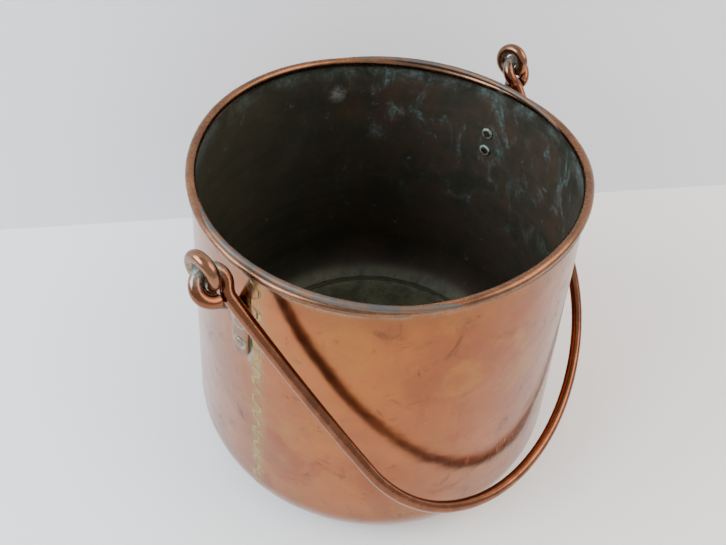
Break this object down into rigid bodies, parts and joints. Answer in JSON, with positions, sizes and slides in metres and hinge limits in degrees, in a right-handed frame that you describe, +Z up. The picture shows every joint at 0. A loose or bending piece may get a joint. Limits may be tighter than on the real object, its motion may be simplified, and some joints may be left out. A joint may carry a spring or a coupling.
{
  "type": "cauldron with bail handle",
  "caption": "Tall round copper pot, wider below than at its rolled rim, with forged ears riveted outside and a swinging bail handle.",
  "frame": {"origin": "centre of the flat underside of the base", "axes": "+Z up through the mouth, ears on the X axis, bail hanging on the -Y side"},
  "size_m": [0.376, 0.3617, 0.3208],
  "materials": {
    "pot_copper": "polished copper with a warm tarnish outside, dark inside",
    "seam_brass": "dull brazing brass",
    "wire_iron": "plain iron wire",
    "ear_copper": "brown copper with green verdigris in its crevices",
    "rivet_copper": "hammered brown copper",
    "bail_copper": "dark glossy copper"
  },
  "bodies": {
    "pot": {"body_wall": "pot_copper", "base_plate": "pot_copper", "side_seam_braze": "seam_brass", "base_seam_braze": "seam_brass", "rim_wire": "wire_iron", "left_ear": "ear_copper", "right_ear": "ear_copper", "left_ear_upper_rivet": "rivet_copper", "left_ear_lower_rivet": "rivet_copper", "right_ear_upper_rivet": "rivet_copper", "right_ear_lower_rivet": "rivet_copper"},
    "bail": {"bail_handle": "bail_copper"}
  },
  "joints": [
    {"name": "bail_swing", "type": "hinge", "parent": "pot", "child": "bail", "pos_m": [0, 0.005, 0.306], "axis": [-1, 0, 0], "range_deg": [0, 282]}
  ]
}
